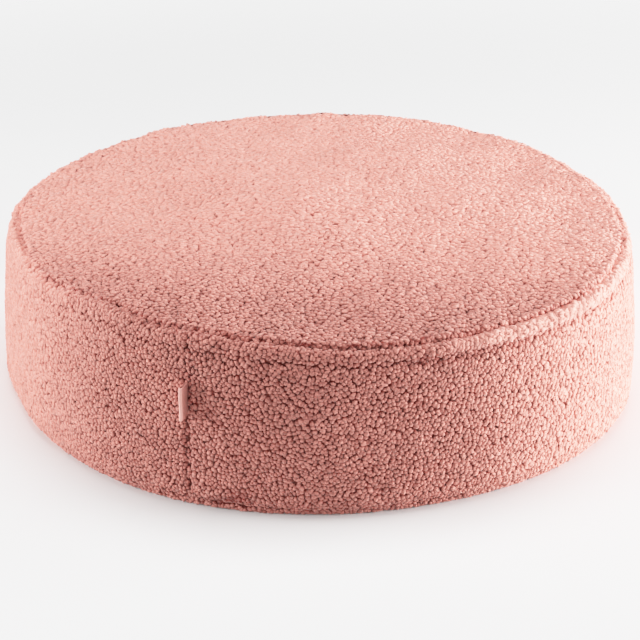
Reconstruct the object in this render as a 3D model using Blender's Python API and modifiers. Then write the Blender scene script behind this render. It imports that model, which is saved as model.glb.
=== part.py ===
"""Round floor pouf in curly teddy fleece, with a small folded ribbon label.

The pouf is one filled cushion: a crowned top panel, a bulging side band and a flat base, parted by
sewn channels. Metres, +Z up. The front faces -Y, the base lies on z = 0 and the origin is the middle
of the base. An azimuth is measured about Z from the front, and grows towards +X.
"""

import math
from collections import namedtuple

import bpy
import numpy as np

# Driving sizes of the cushion
BAND_RADIUS = 0.400
SEAM_HEIGHT = 0.205

# Sewn channels: how deep they draw the pile in, and half the width that they draw
TOP_SEAM_DEPTH = 0.0055
BASE_SEAM_DEPTH = 0.0025
JOIN_SEAM_DEPTH = 0.0036
CHANNEL_HALF_WIDTH = 0.0070
JOIN_AZIMUTH = math.radians(-21.0)
JOIN_SHALLOW_SHARE = 0.65

# The band's cloth rolls over into a soft ridge between the top seam and a shallow crease under it,
# fullest at the right of the front
RIDGE_SWELL = 0.0017
CREASE_DEPTH = 0.0012
CREASE_HALF_WIDTH = 0.0080
RIDGE_AZIMUTH = math.radians(38.0)
RIDGE_LEAST_FULLNESS = 0.25

# Puckers gather along the top seam, most of all at the left of the front, and lean as they run down
PUCKER_SWELL = 0.0011
GATHERED_SWELL = 0.0026
GATHERED_AZIMUTH = math.radians(-66.0)
GATHERED_SPREAD = math.radians(26.0)
PUCKER_REACH = 0.024
PUCKER_LEAN = 60.0

# Side label: a folded loop of ribbon that stands out of the join seam
LABEL_HEIGHT = 0.0380
LABEL_BOTTOM = 0.1131
LABEL_STANDS_OUT = 0.0130
LABEL_NOSE_RADIUS = 0.00155
LABEL_ROOT_HALF_GAP = 0.00075
LABEL_THICKNESS = 0.0009
LABEL_ROOT_CLEARANCE = 0.0013
LABEL_LEAN = math.radians(-1.5)
LABEL_STEPS = 6

# The turned profile, from the middle of the top to the rim of the flat base: reach is a share of
# BAND_RADIUS, and rise a share of SEAM_HEIGHT
Knot = namedtuple("Knot", "name reach rise")
PROFILE = (
    Knot("crown middle", 0.0000, 1.0780),
    Knot("crown shoulder", 0.4760, 1.0390),
    Knot("crown slope", 0.7140, 1.0195),
    Knot("crown edge", 0.8570, 1.0078),
    Knot("panel roll", 0.9140, 1.0032),
    Knot("top seam", 0.9530, 0.9920),
    Knot("band ridge", 0.9665, 0.9450),
    Knot("ridge crease", 0.9750, 0.8900),
    Knot("band shoulder", 0.9865, 0.7000),
    Knot("band middle", 0.9960, 0.5000),
    Knot("band bulge", 1.0000, 0.3000),
    Knot("low bulge", 1.0000, 0.1500),
    Knot("base roll", 0.9995, 0.0750),
    Knot("base seam", 0.9950, 0.0340),
    Knot("flat rim", 0.9840, 0.0000),
)

# The hand-filled cushion is not a true circle: each wave goes round it so many times, and moves the
# reach and the top's height by so many metres
Wave = namedtuple("Wave", "turns reach_cos reach_sin rise_cos rise_sin")
WAVES = (
    Wave(turns=2, reach_cos=0.0013, reach_sin=0.0027, rise_cos=0.0015, rise_sin=-0.0028),
    Wave(turns=3, reach_cos=-0.0002, reach_sin=0.0030, rise_cos=-0.0019, rise_sin=-0.0041),
    Wave(turns=4, reach_cos=-0.0009, reach_sin=-0.0051, rise_cos=-0.0014, rise_sin=-0.0001),
)

# The top seam wanders from its own line, most of all where it gathers: each stay is an azimuth in
# degrees, and how far towards the crown the seam lies there, in metres
Stay = namedtuple("Stay", "azimuth inward")
TOP_SEAM_STAYS = (
    Stay(azimuth=-120, inward=0.0020),
    Stay(azimuth=-76, inward=0.0090),
    Stay(azimuth=-55, inward=-0.0050),
    Stay(azimuth=-38, inward=0.0080),
    Stay(azimuth=-27, inward=-0.0010),
    Stay(azimuth=-20, inward=0.0030),
    Stay(azimuth=10, inward=-0.0020),
    Stay(azimuth=30, inward=0.0010),
    Stay(azimuth=52, inward=-0.0025),
    Stay(azimuth=74, inward=0.0030),
    Stay(azimuth=150, inward=-0.0010),
)
SEAM_STAY_REACH = 0.045

# Soft dents all over the filled cloth: a sine along each direction, with its wavelength and swell
Dent = namedtuple("Dent", "east north up length swell phase")
DENTS = (
    Dent(east=0.83, north=0.45, up=0.33, length=0.210, swell=0.0008, phase=0.6),
    Dent(east=-0.51, north=0.80, up=-0.31, length=0.165, swell=0.0007, phase=2.1),
    Dent(east=0.22, north=-0.63, up=0.74, length=0.118, swell=0.0005, phase=4.4),
    Dent(east=0.90, north=-0.30, up=-0.31, length=0.087, swell=0.0004, phase=1.3),
)

# Puckers: each goes round the seam so many times
Pucker = namedtuple("Pucker", "turns share phase")
PUCKERS = (
    Pucker(turns=37, share=0.45, phase=0.4),
    Pucker(turns=46, share=0.35, phase=2.6),
    Pucker(turns=29, share=0.20, phase=5.1),
)

# How finely the mesh is divided: rings down the profile and columns round it, closer together
# about some places, by so many times and over so wide a stretch
COLUMNS = 150
RINGS = 36
Crowd = namedtuple("Crowd", "centre gain width")
RING_CROWDS = (
    Crowd(centre="top seam", gain=2.0, width=0.040),
    Crowd(centre="top seam", gain=10.0, width=0.009),
    Crowd(centre="ridge crease", gain=3.0, width=0.009),
    Crowd(centre="base seam", gain=6.0, width=0.008),
)
COLUMN_CROWDS = (
    Crowd(centre=GATHERED_AZIMUTH, gain=0.7, width=2 * GATHERED_SPREAD),
    Crowd(centre=JOIN_AZIMUTH, gain=5.0, width=math.radians(1.5)),
)
CURVE_SAMPLES = 3000
LEG_POINTS = 5
NOSE_POINTS = 9

CUSHION_COLOUR = (0.72, 0.36, 0.31, 1.0)
LABEL_COLOUR = (0.86, 0.68, 0.61, 1.0)


def clear_scene():
    """Take every object out of the scene."""
    for thing in list(bpy.data.objects):
        bpy.data.objects.remove(thing, do_unlink=True)


def fabric(name, colour, roughness):
    """A plain cloth material in one colour."""
    material = bpy.data.materials.new(name)
    material.use_nodes = True
    shader = material.node_tree.nodes["Principled BSDF"]
    shader.inputs["Base Color"].default_value = colour
    shader.inputs["Roughness"].default_value = roughness
    shader.inputs["Metallic"].default_value = 0.0
    return material


def bell(distance, half_width):
    """A smooth bell: 1 at no distance, and 0 from half_width on."""
    share = np.clip(np.abs(distance) / half_width, 0.0, 1.0)
    return 0.5 + 0.5 * np.cos(np.pi * share)


def turn_between(azimuth, centre):
    """Signed angle from centre to azimuth, within half a turn."""
    return (azimuth - centre + np.pi) % (2 * np.pi) - np.pi


def smooth_through(points, count):
    """A smooth curve of count points through the given ones, and how far along it each of those lies."""
    chord = np.concatenate([[0.0], np.cumsum(np.linalg.norm(np.diff(points, axis=0), axis=1))])
    slope = np.gradient(points, chord, axis=0)
    slope[0] = (1.0, 0.0)
    at = np.linspace(0.0, chord[-1], count)
    span = np.clip(np.searchsorted(chord, at, side="right") - 1, 0, len(points) - 2)
    width = (chord[span + 1] - chord[span])[:, None]
    t = (at - chord[span])[:, None] / width
    start_share = 2 * t**3 - 3 * t**2 + 1
    start_slope = (t**3 - 2 * t**2 + t) * width
    end_slope = (t**3 - t**2) * width
    curve = start_share * points[span] + start_slope * slope[span]
    curve = curve + (1 - start_share) * points[span + 1] + end_slope * slope[span + 1]
    run = np.concatenate([[0.0], np.cumsum(np.linalg.norm(np.diff(curve, axis=0), axis=1))])
    return curve, run, np.interp(chord, at, run)


class Profile:
    """The turned outline of the cushion, read by the run along it from the middle of the top."""

    def __init__(self):
        knots = np.array([(k.reach * BAND_RADIUS, k.rise * SEAM_HEIGHT) for k in PROFILE])
        self.curve, self.run, knot_runs = smooth_through(knots, CURVE_SAMPLES)
        self.curve[:, 1] = np.maximum(self.curve[:, 1], 0.0)
        self.length = self.run[-1]
        self.knot_run = {knot.name: run for knot, run in zip(PROFILE, knot_runs)}
        along = np.gradient(self.curve, self.run, axis=0)
        along /= np.linalg.norm(along, axis=1)[:, None]
        self.outward = np.stack([-along[:, 1], along[:, 0]], axis=1)

    def reach(self, run):
        """Distance from the middle line."""
        return np.interp(run, self.run, self.curve[:, 0])

    def rise(self, run):
        """Height above the floor."""
        return np.interp(run, self.run, self.curve[:, 1])

    def facing(self, run):
        """Outward direction as its share along the reach and its share along the rise."""
        return (np.interp(run, self.run, self.outward[:, 0]),
                np.interp(run, self.run, self.outward[:, 1]))

    def run_at_rise(self, rise):
        """Run of the point on the side band at a height."""
        side = self.run > self.knot_run["top seam"]
        return np.interp(-rise, -self.curve[side, 1], self.run[side])


OUTLINE = Profile()
TOP_SEAM_RUN = OUTLINE.knot_run["top seam"]
CREASE_RUN = OUTLINE.knot_run["ridge crease"]
BASE_SEAM_RUN = OUTLINE.knot_run["base seam"]


def channel_swell(azimuth, run, reach):
    """How far the three sewn channels draw the surface in, as a negative swell."""
    ring_channels = (TOP_SEAM_DEPTH * bell(run - TOP_SEAM_RUN, CHANNEL_HALF_WIDTH)
                     + BASE_SEAM_DEPTH * bell(run - BASE_SEAM_RUN, CHANNEL_HALF_WIDTH))
    below_top = np.clip((run - TOP_SEAM_RUN) / CHANNEL_HALF_WIDTH, 0.0, 1.0)
    above_base = np.clip((BASE_SEAM_RUN - run) / CHANNEL_HALF_WIDTH, 0.0, 1.0)
    down_band = np.clip((run - TOP_SEAM_RUN) / (BASE_SEAM_RUN - TOP_SEAM_RUN), 0.0, 1.0)
    depth = JOIN_SEAM_DEPTH * (JOIN_SHALLOW_SHARE + (1 - JOIN_SHALLOW_SHARE) * down_band)
    beside_join = turn_between(azimuth, JOIN_AZIMUTH) * reach
    join_channel = depth * below_top * above_base * bell(beside_join, CHANNEL_HALF_WIDTH)
    return -(ring_channels + join_channel)


def ridge_swell(azimuth, run):
    """Roll of the band's edge between the top seam and the crease, and the crease itself."""
    facing = 0.5 + 0.5 * np.cos(turn_between(azimuth, RIDGE_AZIMUTH))
    fullness = RIDGE_LEAST_FULLNESS + (1 - RIDGE_LEAST_FULLNESS) * facing
    roll = bell(run - (TOP_SEAM_RUN + CREASE_RUN) / 2, (CREASE_RUN - TOP_SEAM_RUN) / 2)
    crease = bell(run - CREASE_RUN, CREASE_HALF_WIDTH)
    return fullness * (RIDGE_SWELL * roll - CREASE_DEPTH * crease)


def pucker_swell(azimuth, run):
    """Gathers along the top seam, dying out above and below it."""
    beside = run - TOP_SEAM_RUN
    fade = np.exp(-((beside / PUCKER_REACH) ** 2))
    gathered = np.exp(-((turn_between(azimuth, GATHERED_AZIMUTH) / GATHERED_SPREAD) ** 2))
    size = PUCKER_SWELL + (GATHERED_SWELL - PUCKER_SWELL) * gathered
    lean = PUCKER_LEAN * beside
    wave = sum(p.share * np.sin(p.turns * azimuth + p.phase + lean) for p in PUCKERS)
    return size * fade * wave


def dent_swell(east, north, up):
    """Soft dents of the filled cloth at a point in space."""
    swell = np.zeros_like(east)
    for dent in DENTS:
        along = dent.east * east + dent.north * north + dent.up * up
        swell += dent.swell * np.sin(2 * np.pi * along / dent.length + dent.phase)
    return swell


def seam_drift(azimuth):
    """How far towards the crown the top seam lies at an azimuth: smooth steps between its stays."""
    stay_azimuth = np.radians([stay.azimuth for stay in TOP_SEAM_STAYS])
    inward = np.array([stay.inward for stay in TOP_SEAM_STAYS])
    stay_azimuth = np.append(stay_azimuth, stay_azimuth[0] + 2 * np.pi)
    inward = np.append(inward, inward[0])
    at = stay_azimuth[0] + (azimuth - stay_azimuth[0]) % (2 * np.pi)
    span = np.clip(np.searchsorted(stay_azimuth, at, side="right") - 1, 0, len(inward) - 2)
    share = (at - stay_azimuth[span]) / (stay_azimuth[span + 1] - stay_azimuth[span])
    return inward[span] + (inward[span + 1] - inward[span]) * (1 - bell(share, 1.0))


def waves_at(azimuth):
    """How far the waves move the reach and the top's height at an azimuth."""
    reach = np.zeros_like(azimuth)
    rise = np.zeros_like(azimuth)
    for wave in WAVES:
        cosine = np.cos(wave.turns * azimuth)
        sine = np.sin(wave.turns * azimuth)
        reach += wave.reach_cos * cosine + wave.reach_sin * sine
        rise += wave.rise_cos * cosine + wave.rise_sin * sine
    return reach, rise


def cushion_point(azimuth, run):
    """Points of the cushion's surface at each azimuth and run along the profile.

    Returns an array of x, y and z, before the cushion is centred on the origin.
    """
    place = run - seam_drift(azimuth) * bell(run - TOP_SEAM_RUN, SEAM_STAY_REACH)
    reach = OUTLINE.reach(place)
    rise = OUTLINE.rise(place)
    out_reach, out_rise = OUTLINE.facing(place)
    off_floor = np.clip(rise / CHANNEL_HALF_WIDTH, 0.0, 1.0)
    swell = channel_swell(azimuth, run, reach)
    soft = ridge_swell(azimuth, run) + pucker_swell(azimuth, run)
    soft = soft + dent_swell(reach * np.sin(azimuth), -reach * np.cos(azimuth), rise)
    swell = swell + soft * off_floor
    inside_seam = np.minimum(1.0, reach / OUTLINE.reach(TOP_SEAM_RUN))
    up_band = np.minimum(1.0, rise / SEAM_HEIGHT)
    reach_wave, rise_wave = waves_at(azimuth)
    reach = (reach + swell * out_reach) * (1 + reach_wave / BAND_RADIUS)
    rise = rise + swell * out_rise + rise_wave * (inside_seam * up_band) ** 2
    return np.stack([reach * np.sin(azimuth), -reach * np.cos(azimuth), rise], axis=-1)


def crowded(start, end, count, crowds):
    """Places from start to end, closer together round each crowd."""
    fine = np.linspace(start, end, CURVE_SAMPLES)
    density = np.ones_like(fine)
    for crowd in crowds:
        density += crowd.gain * np.exp(-(((fine - crowd.centre) / crowd.width) ** 2))
    total = np.concatenate([[0.0], np.cumsum((density[1:] + density[:-1]) / 2)])
    return np.interp(np.linspace(0.0, total[-1], count), total, fine)


def with_place(places, centre):
    """The places, with the nearest of them moved right onto a centre."""
    moved = places.copy()
    moved[np.argmin(np.abs(places - centre))] = centre
    return moved


def cushion_rings():
    """Runs of the rings, from the crown's middle to the flat rim, one of them in each seam."""
    crowds = [crowd._replace(centre=OUTLINE.knot_run[crowd.centre]) for crowd in RING_CROWDS]
    rings = crowded(0.0, OUTLINE.length, RINGS, crowds)
    return with_place(with_place(rings, TOP_SEAM_RUN), BASE_SEAM_RUN)


def cushion_azimuths():
    """Azimuths of the columns, one of them in the join seam."""
    columns = crowded(-math.pi, math.pi, COLUMNS + 1, COLUMN_CROWDS)[:-1]
    return with_place(columns, JOIN_AZIMUTH)


def evaluated_mesh(thing, name):
    """The mesh of an object with its modifiers, after which the object is taken away."""
    view = bpy.context.evaluated_depsgraph_get()
    mesh = bpy.data.meshes.new_from_object(thing.evaluated_get(view))
    mesh.name = name
    bpy.data.objects.remove(thing, do_unlink=True)
    return mesh


def line_object(name, points, collection):
    """An object whose mesh is one open line through the points."""
    mesh = bpy.data.meshes.new(name)
    mesh.from_pydata([tuple(p) for p in points], [(i, i + 1) for i in range(len(points) - 1)], [])
    thing = bpy.data.objects.new(name, mesh)
    collection.objects.link(thing)
    return thing


def set_points(mesh, points):
    """Move every point of a mesh."""
    mesh.vertices.foreach_set("co", np.asarray(points, dtype=np.float32).ravel())
    mesh.update()


def mesh_points(mesh):
    """Every point of a mesh, as an array."""
    points = np.empty(len(mesh.vertices) * 3, dtype=np.float32)
    mesh.vertices.foreach_get("co", points)
    return points.reshape(-1, 3).astype(float)


def build_cushion(collection, material):
    """The filled cushion: its profile is turned round, then every point is moved to its own place.

    Returns the object, and the shift that centres it on the origin.
    """
    rings = cushion_rings()
    profile = [(OUTLINE.reach(run), 0.0, OUTLINE.rise(run)) for run in rings]
    profile.append((0.0, 0.0, 0.0))
    outline = line_object("pouf_outline", profile, collection)
    turn = outline.modifiers.new("Turn", "SCREW")
    turn.axis = "Z"
    turn.angle = 2 * math.pi
    turn.steps = COLUMNS
    turn.render_steps = COLUMNS
    turn.use_merge_vertices = True
    turn.merge_threshold = 0.00001
    mesh = evaluated_mesh(outline, "pouf_cushion")

    turned = mesh_points(mesh)
    reach = np.hypot(turned[:, 0], turned[:, 1])
    ring_reach, _, ring_rise = np.array(profile).T
    ring = np.argmin((reach[:, None] - ring_reach) ** 2 + (turned[:, 2:] - ring_rise) ** 2, axis=1)
    column = np.rint(np.arctan2(turned[:, 1], turned[:, 0]) / (2 * np.pi / COLUMNS)).astype(int)
    azimuth = cushion_azimuths()[column % COLUMNS]
    on_surface = ring < len(rings)
    points = np.zeros_like(turned)
    points[on_surface] = cushion_point(azimuth[on_surface], rings[ring[on_surface]])
    middle = (points.min(axis=0) + points.max(axis=0)) / 2
    shift = np.array([-middle[0], -middle[1], 0.0])
    set_points(mesh, points + shift)
    mesh.shade_smooth()
    cushion = bpy.data.objects.new("pouf_cushion", mesh)
    cushion.data.materials.append(material)
    collection.objects.link(cushion)
    return cushion, shift


def label_plan(length):
    """Plan of the ribbon loop: outward and sideways from its root, along one leg, round, and back."""
    straight = length - LABEL_NOSE_RADIUS
    leg = np.linspace(0.0, 1.0, LEG_POINTS, endpoint=False)
    opening = LABEL_ROOT_HALF_GAP + (LABEL_NOSE_RADIUS - LABEL_ROOT_HALF_GAP) * (1 - bell(leg, 1.0))
    bow = np.linspace(-math.pi / 2, math.pi / 2, NOSE_POINTS)
    outward = np.concatenate([leg * straight, straight + LABEL_NOSE_RADIUS * np.cos(bow),
                              leg[::-1] * straight])
    sideways = np.concatenate([-opening, LABEL_NOSE_RADIUS * np.sin(bow), opening[::-1]])
    return outward, sideways


def build_label(collection, material, shift):
    """The side label: a loop of ribbon whose two ends stand in the join seam's channel."""
    length = LABEL_STANDS_OUT + JOIN_SEAM_DEPTH
    outward, sideways = label_plan(length)
    loop = line_object("label_outline", np.stack([outward, sideways, 0 * outward], axis=1), collection)
    lift = loop.modifiers.new("Lift", "SCREW")
    lift.axis = "Z"
    lift.angle = 0.0
    lift.screw_offset = LABEL_HEIGHT
    lift.steps = LABEL_STEPS
    lift.render_steps = LABEL_STEPS
    lift.use_merge_vertices = False
    mesh = evaluated_mesh(loop, "side_label")

    flat = mesh_points(mesh)
    height = LABEL_BOTTOM + flat[:, 2]
    azimuth = np.full(len(flat), JOIN_AZIMUTH)
    channel = cushion_point(azimuth, OUTLINE.run_at_rise(height))
    channel_reach = np.hypot(channel[:, 0], channel[:, 1])
    reach = channel_reach + LABEL_ROOT_CLEARANCE + flat[:, 0]
    side = flat[:, 1] + flat[:, 0] * math.tan(LABEL_LEAN)
    radial = np.array([math.sin(JOIN_AZIMUTH), -math.cos(JOIN_AZIMUTH)])
    across = np.array([math.cos(JOIN_AZIMUTH), math.sin(JOIN_AZIMUTH)])
    plan = reach[:, None] * radial + side[:, None] * across
    set_points(mesh, np.column_stack([plan, height]) + shift)
    mesh.shade_smooth()
    label = bpy.data.objects.new("side_label", mesh)
    label.data.materials.append(material)
    collection.objects.link(label)
    ribbon = label.modifiers.new("Ribbon", "SOLIDIFY")
    ribbon.thickness = LABEL_THICKNESS
    ribbon.offset = 0.0
    ribbon.use_even_offset = True
    return label


def main():
    """Build the pouf in a collection of its own."""
    clear_scene()
    collection = bpy.data.collections.new("pouf")
    bpy.context.scene.collection.children.link(collection)
    fleece = fabric("teddy_fleece", CUSHION_COLOUR, roughness=0.95)
    ribbon = fabric("label_ribbon", LABEL_COLOUR, roughness=0.75)
    _, shift = build_cushion(collection, fleece)
    build_label(collection, ribbon, shift)


main()
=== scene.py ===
"""Looks of a round teddy pouf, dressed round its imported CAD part.

The pouf is one filled cushion: a crowned top panel, a bulging side band and a flat base are sewn
together, and curly fleece covers them. A folded ribbon label stands in the band's join seam.
Metres, +Z up, and the front faces -Y. An azimuth is measured about Z from the front and grows
towards +X. A run is measured down the turned profile, from the middle of the top to the rim of the
flat base.
"""

import logging
import math
from dataclasses import dataclass, field
from enum import Enum
from typing import Iterable, NamedTuple, Sequence

import bpy
import numpy as np
from mathutils import Matrix, Vector
from mathutils.kdtree import KDTree


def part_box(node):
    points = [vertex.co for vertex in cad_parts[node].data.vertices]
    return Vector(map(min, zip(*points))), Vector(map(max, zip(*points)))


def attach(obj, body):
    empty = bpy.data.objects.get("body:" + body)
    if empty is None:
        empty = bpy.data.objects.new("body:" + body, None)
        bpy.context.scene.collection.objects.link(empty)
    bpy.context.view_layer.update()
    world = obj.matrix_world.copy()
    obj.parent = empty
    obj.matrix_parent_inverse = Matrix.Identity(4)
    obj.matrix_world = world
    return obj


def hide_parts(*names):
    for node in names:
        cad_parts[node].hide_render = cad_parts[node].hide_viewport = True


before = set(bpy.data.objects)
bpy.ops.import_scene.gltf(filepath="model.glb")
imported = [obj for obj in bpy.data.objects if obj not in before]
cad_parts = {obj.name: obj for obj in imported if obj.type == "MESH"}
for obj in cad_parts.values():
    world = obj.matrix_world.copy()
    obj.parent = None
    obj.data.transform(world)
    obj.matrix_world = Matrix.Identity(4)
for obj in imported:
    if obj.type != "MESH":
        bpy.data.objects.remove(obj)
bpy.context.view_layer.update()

Array = np.ndarray
Colour = tuple[float, float, float]

LOG = logging.getLogger("pouf")
CUSHION_NODE = "pouf_cushion"
LABEL_NODE = "side_label"
BAKE_MAP = "OFBake"
SEED = 4127
MM = 1000.0
SPECULAR_LEVEL = 0.15
SHEEN_ROUGHNESS = 0.55


def bell(distance: Array, half_width: float) -> Array:
    """A smooth bell: 1 at no distance, and 0 from half_width on."""
    share = np.clip(np.abs(distance) / half_width, 0.0, 1.0)
    return 0.5 + 0.5 * np.cos(np.pi * share)


def turn_between(azimuth: Array, centre: float) -> Array:
    """Signed angle from centre to azimuth, within half a turn."""
    return (azimuth - centre + np.pi) % (2 * np.pi) - np.pi


def unit(vectors: Array) -> Array:
    """The vectors, each scaled to length 1."""
    return vectors / np.maximum(np.linalg.norm(vectors, axis=-1, keepdims=True), 1e-12)


def turned(azimuth: Array, reach: Array, rise: Array) -> Array:
    """Points at azimuths, distances from the middle line and heights."""
    return np.stack([reach * np.sin(azimuth), -reach * np.cos(azimuth), rise], axis=-1)


def run_lengths(path: Array) -> Array:
    """How far along a path each of its points lies."""
    return np.concatenate([[0.0], np.cumsum(np.linalg.norm(np.diff(path, axis=0), axis=1))])


def grid_quads(rings: int, columns: int, closed: bool = True) -> Array:
    """Quads between the neighbouring points of a grid, ring after ring.

    Args:
        rings: How many rings of points the grid has.
        columns: How many points a ring has.
        closed: Whether each ring's last point is joined to its first.

    Returns:
        The quads, as indexes of points.
    """
    spans = columns if closed else columns - 1
    ring, column = np.meshgrid(np.arange(rings - 1), np.arange(spans), indexing="ij")
    ring, column = ring.ravel(), column.ravel()
    after = (column + 1) % columns
    return np.stack([ring * columns + column, (ring + 1) * columns + column,
                     (ring + 1) * columns + after, ring * columns + after], axis=1)


class Knot(NamedTuple):
    """A named point of the turned profile, as shares of the band's radius and the seam's height."""

    name: str
    reach: float
    rise: float


class Wave(NamedTuple):
    """A wave of the hand-filled form that goes round so many times, in metres."""

    turns: int
    reach_cos: float
    reach_sin: float
    rise_cos: float
    rise_sin: float


class Stay(NamedTuple):
    """An azimuth in degrees, and how far towards the crown the top seam lies there, in metres."""

    azimuth: float
    inward: float


class Dent(NamedTuple):
    """A soft dent of the filled cloth: a sine along a direction, with its wavelength and swell."""

    east: float
    north: float
    up: float
    length: float
    swell: float
    phase: float


class Pucker(NamedTuple):
    """A gather that goes round the seam so many times, with its share of the whole."""

    turns: int
    share: float
    phase: float


class Surface(NamedTuple):
    """Points of the surface with their directions: round it, down the profile and outward."""

    point: Array
    around: Array
    down: Array
    outward: Array


@dataclass
class PoufForm:
    """The outer form of the cushion, out to the tips of its pile, as the CAD part has it."""

    band_radius: float = 0.400
    seam_height: float = 0.205
    top_seam_depth: float = 0.0055
    base_seam_depth: float = 0.0025
    join_seam_depth: float = 0.0036
    channel_half_width: float = 0.0070
    join_azimuth: float = math.radians(-21.0)
    join_shallow_share: float = 0.65
    ridge_swell: float = 0.0017
    crease_depth: float = 0.0012
    crease_half_width: float = 0.0080
    ridge_azimuth: float = math.radians(38.0)
    ridge_least_fullness: float = 0.25
    pucker_swell: float = 0.0011
    gathered_swell: float = 0.0026
    gathered_azimuth: float = math.radians(-66.0)
    gathered_spread: float = math.radians(26.0)
    pucker_reach: float = 0.024
    pucker_lean: float = 60.0
    seam_stay_reach: float = 0.045
    curve_samples: int = 3000
    box_columns: int = 721
    box_rings: int = 200
    step_round: float = 1e-3
    step_down: float = 4e-4
    level_run: float = 0.01
    profile: tuple[Knot, ...] = (
        Knot("crown middle", 0.0000, 1.0780),
        Knot("crown shoulder", 0.4760, 1.0390),
        Knot("crown slope", 0.7140, 1.0195),
        Knot("crown edge", 0.8570, 1.0078),
        Knot("panel roll", 0.9140, 1.0032),
        Knot("top seam", 0.9530, 0.9920),
        Knot("band ridge", 0.9665, 0.9450),
        Knot("ridge crease", 0.9750, 0.8900),
        Knot("band shoulder", 0.9865, 0.7000),
        Knot("band middle", 0.9960, 0.5000),
        Knot("band bulge", 1.0000, 0.3000),
        Knot("low bulge", 1.0000, 0.1500),
        Knot("base roll", 0.9995, 0.0750),
        Knot("base seam", 0.9950, 0.0340),
        Knot("flat rim", 0.9840, 0.0000),
    )
    waves: tuple[Wave, ...] = (
        Wave(2, 0.0013, 0.0027, 0.0015, -0.0028),
        Wave(3, -0.0002, 0.0030, -0.0019, -0.0041),
        Wave(4, -0.0009, -0.0051, -0.0014, -0.0001),
    )
    stays: tuple[Stay, ...] = (
        Stay(-120, 0.0020), Stay(-76, 0.0090), Stay(-55, -0.0050), Stay(-38, 0.0080),
        Stay(-27, -0.0010), Stay(-20, 0.0030), Stay(10, -0.0020), Stay(30, 0.0010),
        Stay(52, -0.0025), Stay(74, 0.0030), Stay(150, -0.0010),
    )
    dents: tuple[Dent, ...] = (
        Dent(0.83, 0.45, 0.33, 0.210, 0.0008, 0.6),
        Dent(-0.51, 0.80, -0.31, 0.165, 0.0007, 2.1),
        Dent(0.22, -0.63, 0.74, 0.118, 0.0005, 4.4),
        Dent(0.90, -0.30, -0.31, 0.087, 0.0004, 1.3),
    )
    puckers: tuple[Pucker, ...] = (
        Pucker(37, 0.45, 0.4), Pucker(46, 0.35, 2.6), Pucker(29, 0.20, 5.1),
    )
    shift: Array = field(default_factory=lambda: np.zeros(3))

    def __post_init__(self) -> None:
        """Draw the smooth profile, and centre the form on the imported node."""
        knots = np.array([(k.reach * self.band_radius, k.rise * self.seam_height)
                          for k in self.profile])
        chord = run_lengths(knots)
        slope = np.gradient(knots, chord, axis=0)
        slope[0] = (1.0, 0.0)
        at = np.linspace(0.0, chord[-1], self.curve_samples)
        span = np.clip(np.searchsorted(chord, at, side="right") - 1, 0, len(knots) - 2)
        width = (chord[span + 1] - chord[span])[:, None]
        t = (at - chord[span])[:, None] / width
        start = 2 * t**3 - 3 * t**2 + 1
        curve = start * knots[span] + (t**3 - 2 * t**2 + t) * width * slope[span]
        curve += (1 - start) * knots[span + 1] + (t**3 - t**2) * width * slope[span + 1]
        run = run_lengths(curve)
        curve[:, 1] = np.maximum(curve[:, 1], 0.0)
        along = unit(np.gradient(curve, run, axis=0))
        self._run, self._curve = run, curve
        self._outward = np.stack([-along[:, 1], along[:, 0]], axis=1)
        knot_runs = np.interp(chord, at, run)
        self._knot_run = {knot.name: float(r) for knot, r in zip(self.profile, knot_runs)}
        self._centre_on(*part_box(CUSHION_NODE))

    def _centre_on(self, low: Vector, high: Vector) -> None:
        """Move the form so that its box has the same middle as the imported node's."""
        azimuth, run = np.meshgrid(np.linspace(-math.pi, math.pi, self.box_columns),
                                   np.linspace(0, self.length, self.box_rings))
        points = self.point(azimuth, run).reshape(-1, 3)
        middle = (points.min(axis=0) + points.max(axis=0)) / 2
        self.shift = np.array([(low.x + high.x) / 2 - middle[0],
                               (low.y + high.y) / 2 - middle[1], 0.0])

    @property
    def length(self) -> float:
        """Run of the flat rim."""
        return float(self._run[-1])

    def run_of(self, knot: str) -> float:
        """Run of a named knot of the profile."""
        return self._knot_run[knot]

    def run_at_rise(self, rise: Array) -> Array:
        """Run of the point on the side band at a height."""
        side = self._run > self.run_of("top seam")
        return np.interp(-rise, -self._curve[side, 1], self._run[side])

    def reach(self, run: Array) -> Array:
        """Distance of the profile from the middle line."""
        return np.interp(run, self._run, self._curve[:, 0])

    def ridge_fullness(self, azimuth: Array) -> Array:
        """How full the ridge under the top seam is at an azimuth, from 0 to 1."""
        facing = 0.5 + 0.5 * np.cos(turn_between(azimuth, self.ridge_azimuth))
        return self.ridge_least_fullness + (1 - self.ridge_least_fullness) * facing

    def gathered(self, azimuth: Array) -> Array:
        """How much the seam gathers at an azimuth, from 0 to 1."""
        return np.exp(-((turn_between(azimuth, self.gathered_azimuth) / self.gathered_spread) ** 2))

    def _channels(self, azimuth: Array, run: Array, reach: Array) -> Array:
        """How far the three sewn channels draw the surface in, as a negative swell."""
        top, base, half = self.run_of("top seam"), self.run_of("base seam"), self.channel_half_width
        rings = (self.top_seam_depth * bell(run - top, half)
                 + self.base_seam_depth * bell(run - base, half))
        down_band = np.clip((run - top) / (base - top), 0.0, 1.0)
        shallow = self.join_shallow_share
        depth = self.join_seam_depth * (shallow + (1 - shallow) * down_band)
        ends = np.clip((run - top) / half, 0.0, 1.0) * np.clip((base - run) / half, 0.0, 1.0)
        beside = turn_between(azimuth, self.join_azimuth) * reach
        return -(rings + depth * ends * bell(beside, half))

    def _ridge(self, azimuth: Array, run: Array) -> Array:
        """Roll of the band's edge between the top seam and the crease, and the crease itself."""
        top, crease = self.run_of("top seam"), self.run_of("ridge crease")
        roll = bell(run - (top + crease) / 2, (crease - top) / 2)
        fold = bell(run - crease, self.crease_half_width)
        return self.ridge_fullness(azimuth) * (self.ridge_swell * roll - self.crease_depth * fold)

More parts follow.
